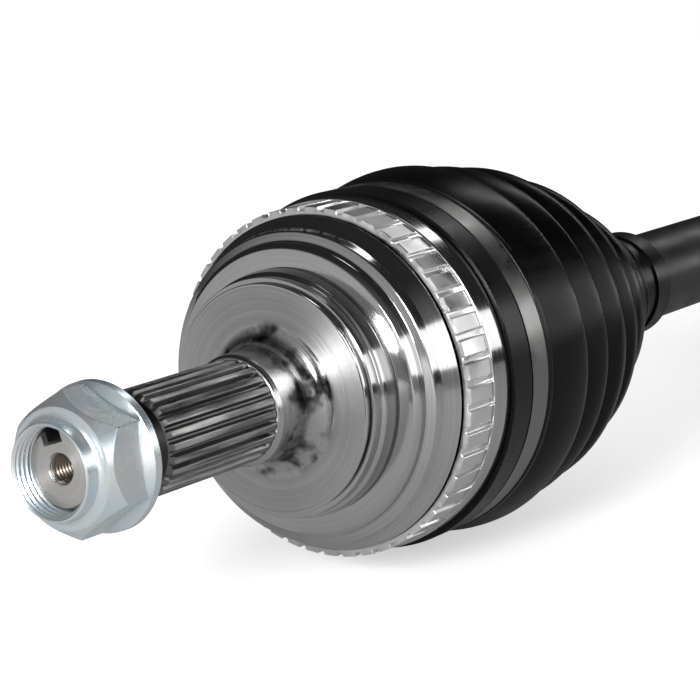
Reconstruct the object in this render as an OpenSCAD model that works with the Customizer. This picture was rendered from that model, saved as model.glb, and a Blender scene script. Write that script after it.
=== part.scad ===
// Front-wheel-drive half shaft with an outer ball joint and an inner tripod joint.
// All sizes are in millimetres. The shaft lies along X: the nut is at -X, the gearbox end at +X.
// X = 0 is the flat front face of the outer joint, which the wheel bearing rests on.

/* [Layout along the shaft] */

// Distance from the front face of the outer joint to its ball centre
outer_centre = 34; // [30:0.5:40]
// Distance between the centres of the outer and the inner joint
joint_distance = 396; // [300:1:700]
// Radius of the bar between the joints
bar_radius = 13.2; // [10:0.1:18]
// Radius of the waists of the bar beside the joints
waist_radius = 10.9; // [9:0.1:14]
// Length of the waist from the outer joint's centre, under the boot
outer_waist_length = 50; // [30:1:90]
// Length of the waist from the inner joint's centre, under the boot
inner_waist_length = 60; // [30:1:90]

/* [Axle nut] */

// Width of the nut's hexagon across its flats
hexagon_width = 30; // [27:0.5:41]
// Angle of the nut's first corner about the shaft
hexagon_angle = 81.6; // [0:0.1:120]
// Nominal radius of the nut's thread
thread_radius = 11; // [8:0.5:14]
// Length of the hexagon's flats
hexagon_length = 6.1; // [4:0.1:12]
// Length of the staking collar in front of the flats, with the chamfer that leads up to them
collar_length = 7.1; // [4:0.1:12]
// Wall of the staking collar round the thread
collar_wall = 0.9; // [0.6:0.1:2]
// How far the flange stands out over the hexagon's corners
flange_overhang = 1.4; // [0.5:0.1:5]
// Thickness of the flange at its rim
flange_thickness = 3.4; // [2:0.1:6]
// Distance from the front face of the outer joint to the back of the nut
nut_seat = 63; // [50:0.5:80]

/* [Outer stub] */

// Number of spline teeth, the same on both stubs
spline_teeth = 26; // [20:1:36]
// Radius over the spline teeth
spline_radius = 13.05; // [11:0.05:18]
// Depth of the spline teeth
spline_depth = 1.2; // [0.8:0.05:2]
// Distance from the back of the nut to the front of the spline
thread_tail = 9; // [7:0.5:20]
// Distance from the front face of the outer joint to the back of the spline
spline_back = 14; // [8:0.5:20]
// How far the pilot journal behind the spline stands out over the teeth
pilot_step = 0.95; // [0.3:0.05:4]
// Radius of the fillet between the pilot journal and the front face
pilot_fillet = 5; // [2:0.1:8]
// Length of the stub in front of the back of the nut
stub_reach = 14.2; // [8:0.1:20]
// Radius of the tapped hole in the end of the stub
puller_hole_radius = 3.4; // [2:0.1:6]
// Depth of the tapped hole in the end of the stub
puller_hole_depth = 18; // [8:0.5:30]
// Radius of the staking slot's floor at the end of the stub
staking_slot_floor = 5.8; // [4:0.1:10]
// Length of the staking slot
staking_slot_length = 16; // [8:0.5:24]
// Width of the staking slot
staking_slot_width = 4.5; // [3:0.1:8]
// Angle of the staking slot about the shaft
staking_slot_angle = 68; // [0:1:360]

/* [Outer joint] */

// Radius of the flat front face
front_face_radius = 29.2; // [25:0.1:34]
// Distances from the front face to the bell's three steps
step_fronts = [1.8, 9.7, 13.6];
// Shares of the rise from the front face to the ring's seat that each step has reached
step_shares = [0.18, 0.62, 0.82];
// Radius of the seat of the outer boot
outer_boot_seat_radius = 45.2; // [38:0.1:54]
// Height of the polished land over the seat of the outer boot
land_height = 0.8; // [0.4:0.1:3]
// Distance from the front face to the open end of the bell
bell_length = 57; // [50:0.5:70]
// Radius of the circle of the ball centres
ball_circle_radius = 30.5; // [26:0.1:36]
// Radius of a ball
ball_radius = 8.75; // [7:0.05:11]
// Gap between a ball and its tracks
track_play = 0.88; // [0.5:0.01:1]
// Wall of the cage outside the circle of the ball centres
cage_outer_wall = 3.7; // [2:0.1:5]
// Wall of the cage inside the circle of the ball centres
cage_inner_wall = 3.3; // [2:0.1:4]
// Half of the cage's width
cage_half_width = 15.5; // [12:0.1:18]
// Half of the inner race's width
race_half_width = 12.5; // [10:0.1:15]
// Gap between the cage and the two races
cage_play = 0.3; // [0.1:0.05:0.5]
// Greatest bend of the outer joint in degrees
outer_bend = 40; // [30:1:47]

/* [Anti-lock ring] */

// Number of teeth of the anti-lock ring
ring_teeth = 48; // [40:1:60]
// Thickness of the ring from its bore to the tops of its teeth
ring_thickness = 2.9; // [2.2:0.1:8]
// Depth of the teeth
ring_tooth_depth = 1.5; // [1:0.1:3]
// Depth of the ring's seat below the seat of the outer boot
ring_seat_depth = 2.2; // [1:0.1:4]
// Distance from the front face of the joint to the front of the ring
ring_front = 20.8; // [15:0.1:30]
// Width of the ring
ring_width = 8.5; // [5:0.1:15]

/* [Boots and clamps] */

// Wall thickness of both boots, measured from the shaft outwards
boot_wall = 2; // [1.2:0.1:3]
// Length of the small cuffs of both boots
small_cuff_length = 11.5; // [9:0.5:20]
// Thickness of the clamp bands
band_thickness = 0.6; // [0.4:0.1:1.2]
// Width of the large clamp bands
clamp_width = 7.3; // [5:0.1:9]
// Width of the small clamp bands
small_clamp_width = 7; // [5:0.1:8]
// Gap between a large clamp band and the sides of its groove
clamp_side_gap = 0.35; // [0.1:0.05:1]
// Angle of the clamps' ears about the shaft
ear_angle = 300; // [0:1:360]

/* [Outer boot] */

// How far the largest crest of the outer boot stands out over its seat
boot_bulge = 4.6; // [3:0.1:15]
// Distance from the front face of the joint to the front of the outer boot
outer_boot_front = 38.4; // [30:0.1:50]
// Distance from the front face of the joint to the end of the outer boot
outer_boot_end = 181; // [140:0.5:220]

/* [Inner joint] */

// Radius of the circle of the roller centres
roller_circle_radius = 24; // [18:0.1:30]
// Radius of an outer roller
roller_radius = 17; // [14:0.1:20]
// Height of an outer roller
roller_height = 12; // [8:0.1:16]
// Gap between a roller and the walls of its groove
groove_play = 0.1; // [0.05:0.01:0.3]
// Radius of the trunnions' round ends
trunnion_radius = 8; // [6:0.05:10]
// Gap between a trunnion and its roller hub
trunnion_play = 0.75; // [0.5:0.01:1]
// Radius of a needle
needle_radius = 1.5; // [1:0.05:2]
// Number of needles round each roller hub
needle_count = 24; // [20:1:40]
// Gap between the needles and the rings they run on
needle_play = 0.04; // [0.02:0.01:0.1]
// Inner radius of the housing's centre bore
housing_bore_radius = 24.5; // [20:0.1:26]
// Outer radius of the inner housing
housing_radius = 39.5; // [36:0.1:46]
// Depth of the three scallops in the outside of the inner housing, between its grooves
scallop_depth = 9; // [4:0.5:11]
// Distance from the inner joint's centre to the mouth of the housing
housing_mouth = 41; // [30:0.5:55]
// Distance from the inner joint's centre to the bottom of the grooves
housing_depth = 46; // [35:0.5:60]

/* [Inner stub] */

// Radius of the seal journal
seal_radius = 17.5; // [14:0.1:22]
// Length of the seal journal
seal_length = 18; // [10:0.5:30]
// Length of the inner spline
inner_spline_length = 30; // [20:0.5:50]

/* [Inner boot] */

// How far the largest crest of the inner boot stands out over the inner housing
inner_boot_bulge = 4; // [3:0.1:12]
// Distance from the mouth of the housing to the small end of the inner boot
inner_boot_length = 88; // [60:0.5:130]

/* [Hidden] */

$fn = 72;
inner_centre = outer_centre + joint_distance;
trunnion_angles = [90, 210, 330];
// Overlap of a cut with the face it starts from, and of two solids that are joined.
thin = 0.05;
// Gap between two pieces that sit on each other.
seat_gap = 0.05;
// Chamfer of turned edges.
edge = 0.6;

hexagon_corner = hexagon_width / sqrt(3);
collar_radius = thread_radius + collar_wall;
chamfer_foot = collar_radius + 1.4;
flange_radius = hexagon_corner + flange_overhang;
flange_cone = 1.6;
flange_front = -nut_seat - flange_thickness;
hexagon_front = flange_front - flange_cone - hexagon_length;
collar_back = hexagon_front - (hexagon_width / 2 - chamfer_foot);
nut_front = hexagon_front - collar_length;

stub_end = nut_seat + stub_reach;
spline_front = nut_seat - thread_tail;
undercut_length = 4;
undercut_depth = 1;
pilot_radius = spline_radius + pilot_step;
spline_root = spline_radius - spline_depth;
spline_core = spline_root - 0.3;
bar_spline_radius = 11.5;
bar_spline_teeth = 24;
bar_spline_depth = 1;
bar_spline_root = bar_spline_radius - bar_spline_depth;
bar_end = 16;
circlip_wire = 1.5;
spider_half_width = 10;
circlip_outer = bar_spline_radius + 1;
circlip_inner = bar_spline_radius - 1.5;
race_circlip_x = outer_centre - race_half_width - circlip_wire;
spider_circlip_x = inner_centre + spider_half_width;

outer_waist_end = outer_centre + outer_waist_length;
inner_waist_end = inner_centre - inner_waist_length;
waist_taper = 9;

ring_inner_radius = outer_boot_seat_radius - ring_seat_depth;
ring_radius = ring_inner_radius + ring_thickness;
ring_back = ring_front + ring_width;
land_radius = outer_boot_seat_radius + land_height;
bell_rise = ring_inner_radius - front_face_radius;
first_step_radius = front_face_radius + step_shares[0] * bell_rise;
second_step_radius = front_face_radius + step_shares[1] * bell_rise;
third_step_radius = front_face_radius + step_shares[2] * bell_rise;

track_radius = ball_radius + track_play;
track_end_angle = outer_bend / 2 + 2;
track_mouth_angle = 50;
cage_radius = ball_circle_radius + cage_outer_wall;
cage_inner_radius = ball_circle_radius - cage_inner_wall;
bell_bore_radius = cage_radius + cage_play;
bell_bore_depth = 26;
race_radius = cage_inner_radius - cage_play;

boot_radius = outer_boot_seat_radius + boot_bulge;
inner_boot_radius = housing_radius + inner_boot_bulge;
small_cuff_radius = bar_radius + boot_wall;
clamp_groove_depth = band_thickness + 0.1;
clamp_groove_width = clamp_width + 2 * clamp_side_gap;
outer_clamp_groove = bell_length - 1.9 - clamp_groove_width;
crest_half = 1.7;
crest_round = 0.9;
valley_half = 1.3;
ear_width = 6.4;
ear_height = 4.2;
ear_half = 2.8;
ear_foot = 5.5;
ear_wall = 0.9;

// Folds of the boots as [place of the crest, its height, place of the valley behind it, its height].
// Places are shares of the folded length, counted from the large cuff, and heights are shares of the
// rise from the small cuff to the largest crest.
outer_folds = [[0.081, 1, 0.148, 0.803], [0.203, 0.945, 0.268, 0.746], [0.324, 0.879, 0.412, 0.624],
    [0.493, 0.723, 0.598, 0.382], [0.691, 0.451, 0.779, 0.156], [0.84, 0.254, 0.909, 0.052],
    [0.965, 0.098]];
inner_folds = [[0.15, 1, 0.261, 0.7], [0.359, 0.894, 0.458, 0.576], [0.556, 0.735, 0.654, 0.4],
    [0.745, 0.505, 0.837, 0.187], [0.915, 0.24]];

roller_hub_bore = trunnion_radius + trunnion_play;
needle_circle_radius = needle_count * (2 * needle_radius + needle_play) / (2 * PI);
roller_hub_radius = needle_circle_radius - needle_radius - needle_play;
roller_bore = needle_circle_radius + needle_radius + needle_play;
needle_half_length = 4.7;
retainer_thickness = 0.9;
spider_radius = 16;
spider_chamfer = 2.5;
trunnion_neck_radius = 6;
groove_half_width = roller_radius + groove_play;
groove_ceiling = roller_circle_radius + roller_height / 2 + edge;

mouth_x = inner_centre - housing_mouth;
inner_clamp_groove = mouth_x + 4.6;
housing_back = inner_centre + housing_depth;
housing_end = housing_back + 8;
seal_front = housing_end + 6;
seal_back = seal_front + seal_length;
inner_spline_front = seal_back + 6;
inner_stub_end = inner_spline_front + inner_spline_length + 5;
stub_circlip_x = inner_stub_end - 6;
mouth_radius = housing_bore_radius + 6.5;
mouth_depth = 15;
scallop_radius = 18;
stop_ring_outer = mouth_radius + 2.6;
stop_ring_inner = mouth_radius - 2;
stop_ring_x = mouth_x + 1.4;

steel = [0.72, 0.72, 0.73];
dark_steel = [0.25, 0.25, 0.26];
zinc = [0.68, 0.72, 0.78];
rubber = [0.07, 0.07, 0.075];
paint = [0.1, 0.1, 0.1];
band_steel = [0.6, 0.6, 0.6];
bright = [0.85, 0.85, 0.86];

// Points of a turned outline are [radius, place along X].
module turned(outline) rotate([0, 90, 0]) rotate_extrude() polygon(outline);

// A round bar or hole along X from one place to another.
module rod(radius, from, to) translate([from, 0, 0]) rotate([0, 90, 0]) cylinder(r = radius, h = to - from);

// A sphere round the outer joint's centre, with its poles on X.
module joint_sphere(radius) translate([outer_centre, 0, 0])
    rotate([30, 0, 0]) rotate([0, 90, 0]) sphere(r = radius);

// A ring along X.
module ring(outer, inner, from, to) difference() {
    rod(outer, from, to);
    rod(inner, from - 1, to + 1);
}

// Cross-section of a toothed shaft: straight-sided teeth under a round tip.
module toothed_section(tip, root, teeth, tip_share, root_share) intersection() {
    circle(r = tip);
    union() {
        circle(r = root);
        for (i = [0 : teeth - 1])
            rotate(i * 360 / teeth) tooth_outline(tip, root, teeth, tip_share, root_share);
    }
}

// One tooth, its widths given as shares of the tooth pitch.
module tooth_outline(tip, root, teeth, tip_share, root_share) {
    tip_half = PI * tip / teeth * tip_share;
    root_half = PI * root / teeth * root_share;
    polygon([[root - 1, -root_half], [tip + 0.2, -tip_half], [tip + 0.2, tip_half], [root - 1, root_half]]);
}

// A toothed length of shaft along X.
module toothed_rod(tip, root, teeth, from, to, tip_share, root_share) translate([from, 0, 0])
    rotate([0, 90, 0])
    linear_extrude(height = to - from) toothed_section(tip, root, teeth, tip_share, root_share);

// Places its children at an angle about X, measured from +Y towards +Z.
module about_x(angle) rotate([angle, 0, 0]) children();

// One ball track: a bent tube round the joint's centre, from the closed end to the mouth.
module ball_track(closed_angle, open_angle) {
    rotate([0, 0, 90 - open_angle])
        rotate_extrude(angle = open_angle + closed_angle)
        translate([ball_circle_radius, 0]) circle(r = track_radius);
    rotate([0, 0, 90 + closed_angle]) translate([ball_circle_radius, 0, 0])
        rotate([0, 90, 0]) sphere(r = track_radius - thin);
}

// The six tracks of the outer race or the inner race.
module ball_tracks(closed_angle, open_angle) translate([outer_centre, 0, 0])
    for (i = [0 : 5]) about_x(i * 60) ball_track(closed_angle, open_angle);

// Crimped ear that closes a clamp band: a hollow bridge that stands on the band.
module clamp_ear(band_radius, middle) about_x(ear_angle)
    translate([middle - ear_width / 2, band_radius, 0])
    rotate([0, 90, 0])
    linear_extrude(height = ear_width) difference() {
        polygon([[-ear_foot, -band_thickness], [-ear_foot + edge, 0.5], [-ear_half, 0.5],
            [-ear_half - 0.4, ear_height - 1], [-ear_half + 0.8, ear_height],
            [ear_half - 0.8, ear_height], [ear_half + 0.4, ear_height - 1],
            [ear_half, 0.5], [ear_foot - edge, 0.5], [ear_foot, -band_thickness]]);
        polygon([[-ear_half + ear_wall, 0.4], [-ear_half + ear_wall - 0.2, ear_height - 1.2],
            [ear_half - ear_wall + 0.2, ear_height - 1.2], [ear_half - ear_wall, 0.4]]);
    }

// A clamp band with its ear.
module clamp(inner, from, to) difference() {
    union() {
        ring(inner + band_thickness, inner, from, to);
        clamp_ear(inner + band_thickness, (from + to) / 2);
    }
    rod(inner, from - 1, to + 1);
}

// Open snap ring of flat wire, its gap at an angle about X.
module snap_ring(outer, inner, from, to, gap_angle, gap) difference() {
    ring(outer, inner, from, to);
    about_x(gap_angle) translate([from - 1, 0, -gap / 2]) cube([to - from + 2, outer + 1, gap]);
}

module axle_nut() color(zinc) difference() {
    union() {
        intersection() {
            translate([collar_back, 0, 0]) rotate([0, 90, 0]) rotate([0, 0, 90])
                rotate(hexagon_angle) cylinder(r = hexagon_corner, h = -nut_seat - collar_back, $fn = 6);
            turned([[0, collar_back], [chamfer_foot, collar_back],
                [hexagon_corner + 0.1, collar_back + hexagon_corner + 0.1 - chamfer_foot],
                [hexagon_corner + 0.1, -nut_seat], [0, -nut_seat]]);
        }
        turned([[0, nut_front], [collar_radius - edge, nut_front], [collar_radius - 0.3, nut_front + edge],
            [collar_radius, collar_back - 0.6], [collar_radius + edge, collar_back], [0, collar_back]]);
        turned([[0, flange_front - flange_cone], [hexagon_width / 2, flange_front - flange_cone],
            [flange_radius - 0.3, flange_front], [flange_radius, flange_front + 0.4],
            [flange_radius - 1, -nut_seat], [0, -nut_seat]]);
    }
    rod(thread_radius + seat_gap, nut_front - 1, -nut_seat + 1);
    turned([[0, -nut_seat - 0.8], [thread_radius + seat_gap, -nut_seat - 0.8],
        [thread_radius + 1.2, -nut_seat + 0.1], [0, -nut_seat + 0.1]]);
}

module outer_race() color(steel) difference() {
    union() {
        outer_stub();
        bell();
    }
    rod(puller_hole_radius, -stub_end - 1, -stub_end + puller_hole_depth);
    turned([[0, -stub_end - 0.1], [puller_hole_radius + 0.5, -stub_end - 0.1],
        [0, -stub_end + puller_hole_radius + 0.4]]);
    about_x(staking_slot_angle)
        translate([-stub_end, staking_slot_floor, -staking_slot_width / 2]) rotate([0, 0, 20])
        translate([-4, 0, 0]) cube([staking_slot_length + 4, 9, staking_slot_width]);
}

// Threaded end, undercut, spline and pilot journal of the outer stub.
module outer_stub() {
    turned([[0, -stub_end], [thread_radius - 1.9, -stub_end], [thread_radius, -stub_end + 1.9],
        [thread_radius, -spline_front - undercut_length - undercut_depth],
        [thread_radius - undercut_depth, -spline_front - undercut_length],
        [thread_radius - undercut_depth, -spline_front - 1.4],
        [spline_core, -spline_front], [spline_core, 1], [0, 1]]);
    intersection() {
        toothed_rod(spline_radius, spline_root, spline_teeth, -spline_front, -spline_back + 1, 0.5, 0.86);
        turned([[0, -spline_front], [spline_root, -spline_front],
            [spline_radius + 0.1, -spline_front + 1.2], [spline_radius + 0.1, -spline_back + 1],
            [0, -spline_back + 1]]);
    }
    pilot_steps = 6;
    turned(concat([[0, -spline_back], [pilot_radius - edge, -spline_back],
            [pilot_radius, -spline_back + edge]],
        [for (i = [0 : pilot_steps]) [pilot_radius + pilot_fillet * (1 - cos(i * 90 / pilot_steps)),
            -pilot_fillet * (1 - sin(i * 90 / pilot_steps))]],
        [[pilot_radius + pilot_fillet, 1], [0, 1]]));
}

// Stepped bell with its front face, ring seat, boot seat, ball tracks and flared mouth.
module bell() difference() {
    turned([[0, 0], [front_face_radius - 0.3, 0], [front_face_radius, 0.3], [front_face_radius, 0.7],
        [front_face_radius - 0.7, 0.9], [front_face_radius - 0.7, step_fronts[0] - 0.2],
        [first_step_radius - 1.3, step_fronts[0]], [first_step_radius - 1.2, step_fronts[0] + 2.8],
        [first_step_radius - 0.5, step_fronts[0] + 3.4], [first_step_radius, step_fronts[1] - 1.1],
        [first_step_radius - 0.6, step_fronts[1] - 0.9], [first_step_radius - 0.6, step_fronts[1] - 0.2],
        [second_step_radius - 0.5, step_fronts[1]], [second_step_radius, step_fronts[1] + 0.5],
        [second_step_radius, step_fronts[2] - 0.7], [third_step_radius - 0.3, step_fronts[2]],
        [third_step_radius, step_fronts[2] + 2.8],
        [ring_inner_radius, ring_front - 0.6], [ring_inner_radius - 0.6, ring_front - 0.5],
        [ring_inner_radius - 0.6, ring_front + 0.4], [ring_inner_radius, ring_front + 0.6],
        [ring_inner_radius, ring_back], [land_radius - 0.3, ring_back], [land_radius, ring_back + 0.3],
        [land_radius, outer_boot_front - 0.4], [land_radius - 0.4, outer_boot_front],
        [outer_boot_seat_radius, outer_boot_front], [outer_boot_seat_radius, bell_length - 1],
        [outer_boot_seat_radius - 1, bell_length], [0, bell_length]]);
    intersection() {
        joint_sphere(bell_bore_radius);
        rod(bell_bore_radius + 1, outer_centre - bell_bore_depth, bell_length + 1);
    }
    turned([[0, bell_length - 9], [ball_circle_radius - 4.5, bell_length - 9],
        [bell_bore_radius + 1.1, bell_length + thin], [0, bell_length + thin]]);
    ball_tracks(track_end_angle, track_mouth_angle);
}

module abs_ring() color(steel) difference() {
    toothed_rod(ring_radius, ring_radius - ring_tooth_depth, ring_teeth, ring_front, ring_back, 0.5, 0.62);
    rod(ring_inner_radius, ring_front - 1, ring_back + 1);
}

module inner_race() color(steel) difference() {
    intersection() {
        joint_sphere(race_radius);
        rod(race_radius, outer_centre - race_half_width, outer_centre + race_half_width);
    }
    translate([outer_centre, 0, 0])
        for (i = [0 : 5]) about_x(i * 60)
            rotate([0, 0, 90 - track_mouth_angle])
            rotate_extrude(angle = 2 * track_mouth_angle)
            translate([ball_circle_radius, 0]) circle(r = track_radius);
    bar_spline_bore(outer_centre, race_half_width + 1);
}

module cage() color(steel) difference() {
    intersection() {
        joint_sphere(cage_radius);
        rod(cage_radius, outer_centre - cage_half_width, outer_centre + cage_half_width);
    }
    joint_sphere(cage_inner_radius);
    rod(sqrt(cage_inner_radius * cage_inner_radius - race_half_width * race_half_width) + 1,
        outer_centre - cage_half_width - 1, outer_centre + cage_half_width + 1);
    for (i = [0 : 5]) about_x(i * 60) cage_window();
}

// Window of the cage: as wide as a ball along X, a little longer round the cage, with cut corners.
module cage_window() translate([outer_centre, cage_inner_radius - 7, 0]) {
    half = ball_radius + thin;
    slack = 1.6;
    intersection() {
        translate([-half, 0, -half - slack]) cube([2 * half, 16, 2 * (half + slack)]);
        rotate([-90, 0, 0]) cylinder(r = half + 3, h = 16);
    }
}

module balls() color(bright)
    for (i = [0 : 5]) about_x(i * 60)
        translate([outer_centre, ball_circle_radius, 0]) sphere(r = ball_radius);

module race_circlip() color(dark_steel)
    snap_ring(circlip_outer, circlip_inner, race_circlip_x, race_circlip_x + circlip_wire, 90, 4);

module axle_bar() color(paint) difference() {
    union() {
        turned([[0, outer_centre - bar_end], [bar_spline_radius - 2, outer_centre - bar_end],
            [bar_spline_root, outer_centre - bar_end + 1],
            [bar_spline_root, outer_centre + 18], [waist_radius, outer_centre + 19],
            [waist_radius, outer_waist_end], [bar_radius, outer_waist_end + waist_taper],
            [bar_radius, inner_waist_end - waist_taper], [waist_radius, inner_waist_end],
            [waist_radius, inner_centre - 18],
            [bar_spline_root, inner_centre - 17], [bar_spline_root, inner_centre + bar_end - 1],
            [bar_spline_radius - 2, inner_centre + bar_end], [0, inner_centre + bar_end]]);
        bar_spline(outer_centre - bar_end + 0.5, outer_centre + 17);
        bar_spline(inner_centre - 16, inner_centre + bar_end - 0.5);
    }
    ring(circlip_outer, circlip_inner, race_circlip_x - thin, race_circlip_x + circlip_wire);
    ring(circlip_outer, circlip_inner, spider_circlip_x, spider_circlip_x + circlip_wire + thin);
}

// Splined end of the bar.
module bar_spline(from, to)
    toothed_rod(bar_spline_radius, bar_spline_root, bar_spline_teeth, from, to, 0.5, 0.82);

// Splined hole that fits over the bar's end, from one side of a middle to the other.
module bar_spline_bore(middle, half) toothed_rod(bar_spline_radius + seat_gap, bar_spline_root + seat_gap,
    bar_spline_teeth, middle - half, middle + half, 0.52, 0.84);

module spider() color(steel) difference() {
    union() {
        translate([inner_centre, 0, 0]) turned([[0, -spider_half_width],
            [spider_radius - spider_chamfer, -spider_half_width],
            [spider_radius, -spider_half_width + spider_chamfer],
            [spider_radius, spider_half_width - spider_chamfer],
            [spider_radius - spider_chamfer, spider_half_width], [0, spider_half_width]]);
        for (angle = trunnion_angles) translate([inner_centre, 0, 0]) about_x(angle) trunnion();
    }
    bar_spline_bore(inner_centre, spider_half_width + 1);
}

// Trunnion along +Y: a neck and a ball-shaped end with a flat top.
module trunnion() {
    translate([0, bar_spline_radius + 1, 0]) rotate([-90, 0, 0])
        cylinder(r = trunnion_neck_radius, h = roller_circle_radius - bar_spline_radius - 1);
    translate([0, roller_circle_radius, 0]) rotate([-90, 0, 0]) intersection() {
        sphere(r = trunnion_radius);
        translate([0, 0, -trunnion_radius - 1]) cylinder(r = trunnion_radius + 1, h = trunnion_radius + 6);
    }
}

module spider_circlip() color(dark_steel)
    snap_ring(circlip_outer, circlip_inner, spider_circlip_x, spider_circlip_x + circlip_wire, 270, 4);

// Places its children at a roller's centre, with the trunnion along +Z.
module at_roller(angle) translate([inner_centre, 0, 0]) about_x(angle)
    translate([0, roller_circle_radius, 0]) rotate([-90, 0, 0]) children();

// A ring round a trunnion, centred on the roller's middle.
module roller_ring(outer, inner, height) difference() {
    cylinder(r = outer, h = height, center = true);
    cylinder(r = inner, h = height + 2, center = true);
}

module roller_hub(angle) color(bright) at_roller(angle)
    roller_ring(roller_hub_radius, roller_hub_bore, 2 * needle_half_length);

module needles(angle) color(bright) at_roller(angle)
    for (i = [0 : needle_count - 1]) rotate(i * 360 / needle_count)
        translate([needle_circle_radius, 0, 0])
        cylinder(r = needle_radius, h = 2 * needle_half_length - 2 * needle_play, center = true, $fn = 16);

module retainers(angle) color(dark_steel) at_roller(angle)
    for (side = [-1, 1]) translate([0, 0, side * (needle_half_length + retainer_thickness / 2)])
        roller_ring(roller_bore - needle_play, roller_hub_bore, retainer_thickness);

module outer_roller(angle) color(bright) at_roller(angle)
    difference() {
        rotate_extrude() polygon([[0, -roller_height / 2], [roller_radius - edge, -roller_height / 2],
            [roller_radius, -roller_height / 2 + edge], [roller_radius, roller_height / 2 - edge],
            [roller_radius - edge, roller_height / 2], [0, roller_height / 2]]);
        cylinder(r = roller_bore, h = roller_height + 2, center = true);
    }

module inner_housing() color(steel) difference() {
    union() {
        turned([[0, mouth_x], [housing_radius - 1, mouth_x], [housing_radius, mouth_x + 1],
            [housing_radius, housing_back - 4], [housing_radius - 3, housing_back],
            [housing_radius - 9.5, housing_end - 3], [seal_radius + 6.5, housing_end],
            [seal_radius + 1.5, housing_end + 2], [seal_radius + 1.5, seal_front],
            [seal_radius, seal_front + 0.5], [seal_radius, seal_back],
            [spline_radius + edge, seal_back + 2], [spline_core, inner_spline_front],
            [spline_core, inner_stub_end - 1.5], [spline_core - 1.5, inner_stub_end], [0, inner_stub_end]]);
        intersection() {
            toothed_rod(spline_radius, spline_root, spline_teeth, inner_spline_front - 1,
                inner_stub_end - 1, 0.5, 0.86);
            turned([[0, inner_spline_front - 1], [spline_radius + 0.1, inner_spline_front - 1],
                [spline_radius + 0.1, inner_stub_end - 2.4], [spline_root, inner_stub_end - 1],
                [0, inner_stub_end - 1]]);
        }
    }
    rod(housing_bore_radius, mouth_x - 1, housing_back);
    turned([[0, mouth_x - thin], [mouth_radius, mouth_x - thin],
        [housing_bore_radius - 1, mouth_x + mouth_depth], [0, mouth_x + mouth_depth]]);
    for (angle = trunnion_angles) translate([inner_centre, 0, 0]) about_x(angle) roller_groove();
    for (angle = trunnion_angles) translate([inner_centre - 20, 0, 0]) about_x(angle + 60)
        translate([0, housing_radius + scallop_radius - scallop_depth, 0]) rotate([0, 90, 0])
        cylinder(r = scallop_radius, h = housing_end + 2 * scallop_radius - inner_centre);
    ring(stop_ring_outer + seat_gap, housing_bore_radius - 1, stop_ring_x - thin,
        stop_ring_x + circlip_wire + thin);
    ring(spline_radius + 1, spline_root - 1.2, stub_circlip_x, stub_circlip_x + circlip_wire + thin);
}

// Groove along +Y for one roller, with a round bottom.
module roller_groove() {
    bottom = housing_depth - groove_half_width;
    translate([-housing_mouth - 1, 0, -groove_half_width])
        cube([housing_mouth + 1 + bottom, groove_ceiling, 2 * groove_half_width]);
    translate([bottom, 0, 0]) rotate([-90, 0, 0]) cylinder(r = groove_half_width, h = groove_ceiling);
}

module stop_ring() color(dark_steel)
    snap_ring(stop_ring_outer, stop_ring_inner, stop_ring_x, stop_ring_x + circlip_wire, 270, 12);

module stub_circlip() color(dark_steel)
    snap_ring(spline_root + 0.5, spline_root - 1.2, stub_circlip_x, stub_circlip_x + circlip_wire, 270, 3);

// Outline of a boot's wall: the outer points, then the same points one wall thickness inside.
function boot_outline(points) = concat(points,
    [for (i = [len(points) - 1 : -1 : 0]) [points[i][0] - boot_wall, points[i][1]]]);

// A crest with a rounded top, as three points in the order of the direction, 1 or -1 along X.
function crest(radius, place, direction) = [[radius - crest_round, place - direction * crest_half],
    [radius, place], [radius - crest_round, place + direction * crest_half]];

// A valley with a flat floor, as two points.
function valley(radius, place, direction) = [[radius, place - direction * valley_half],
    [radius, place + direction * valley_half]];

// The crests and valleys of a boot between its cuffs.
function fold_points(folds, from, to, largest) = [for (fold = folds)
    let (direction = to > from ? 1 : -1, rise = largest - small_cuff_radius)
    for (point = concat(
        crest(small_cuff_radius + fold[1] * rise, from + fold[0] * (to - from), direction),
        len(fold) > 2 ? valley(small_cuff_radius + fold[3] * rise, from + fold[2] * (to - from), direction)
            : [])) point];

// A large cuff with the groove for its clamp band, from its open end towards the folds.
function large_cuff(seat, end, groove, back, direction) = let (outside = seat + boot_wall) [
    [outside - 0.4, end], [outside, end + direction * 0.4],
    [outside, groove], [outside - clamp_groove_depth, groove + direction * 0.2],
    [outside - clamp_groove_depth, back - direction * 0.2], [outside, back]];

// A small cuff on the bar, from the folds to its open end.
function small_cuff(end, direction) = [[small_cuff_radius, end - direction * small_cuff_length],
    [small_cuff_radius, end - direction * 0.4], [small_cuff_radius - 0.4, end]];

module outer_boot() color(rubber) difference() {
    seat = outer_boot_seat_radius + seat_gap;
    neck = outer_clamp_groove + clamp_groove_width + 1.4;
    turned(boot_outline(concat(
        large_cuff(seat, outer_boot_front + seat_gap, outer_clamp_groove,
            outer_clamp_groove + clamp_groove_width, 1),
        [[seat + boot_wall + 0.4, neck], [seat + boot_wall - 0.2, neck + 1.1],
            [boot_radius - 1.6, neck + 4]],
        fold_points(outer_folds, neck + 4, outer_boot_end - small_cuff_length, boot_radius),
        small_cuff(outer_boot_end, 1))));
    rod(seat, outer_boot_front, bell_length + seat_gap);
}

module outer_boot_clamp() color(band_steel) clamp(
    outer_boot_seat_radius + boot_wall - clamp_groove_depth + 2 * seat_gap,
    outer_clamp_groove + clamp_side_gap, outer_clamp_groove + clamp_side_gap + clamp_width);

module outer_boot_small_clamp() color(band_steel)
    small_clamp(outer_boot_end - small_cuff_length / 2);

// A small clamp band on a small cuff.
module small_clamp(middle) clamp(small_cuff_radius + thin, middle - small_clamp_width / 2,
    middle + small_clamp_width / 2);

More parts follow.
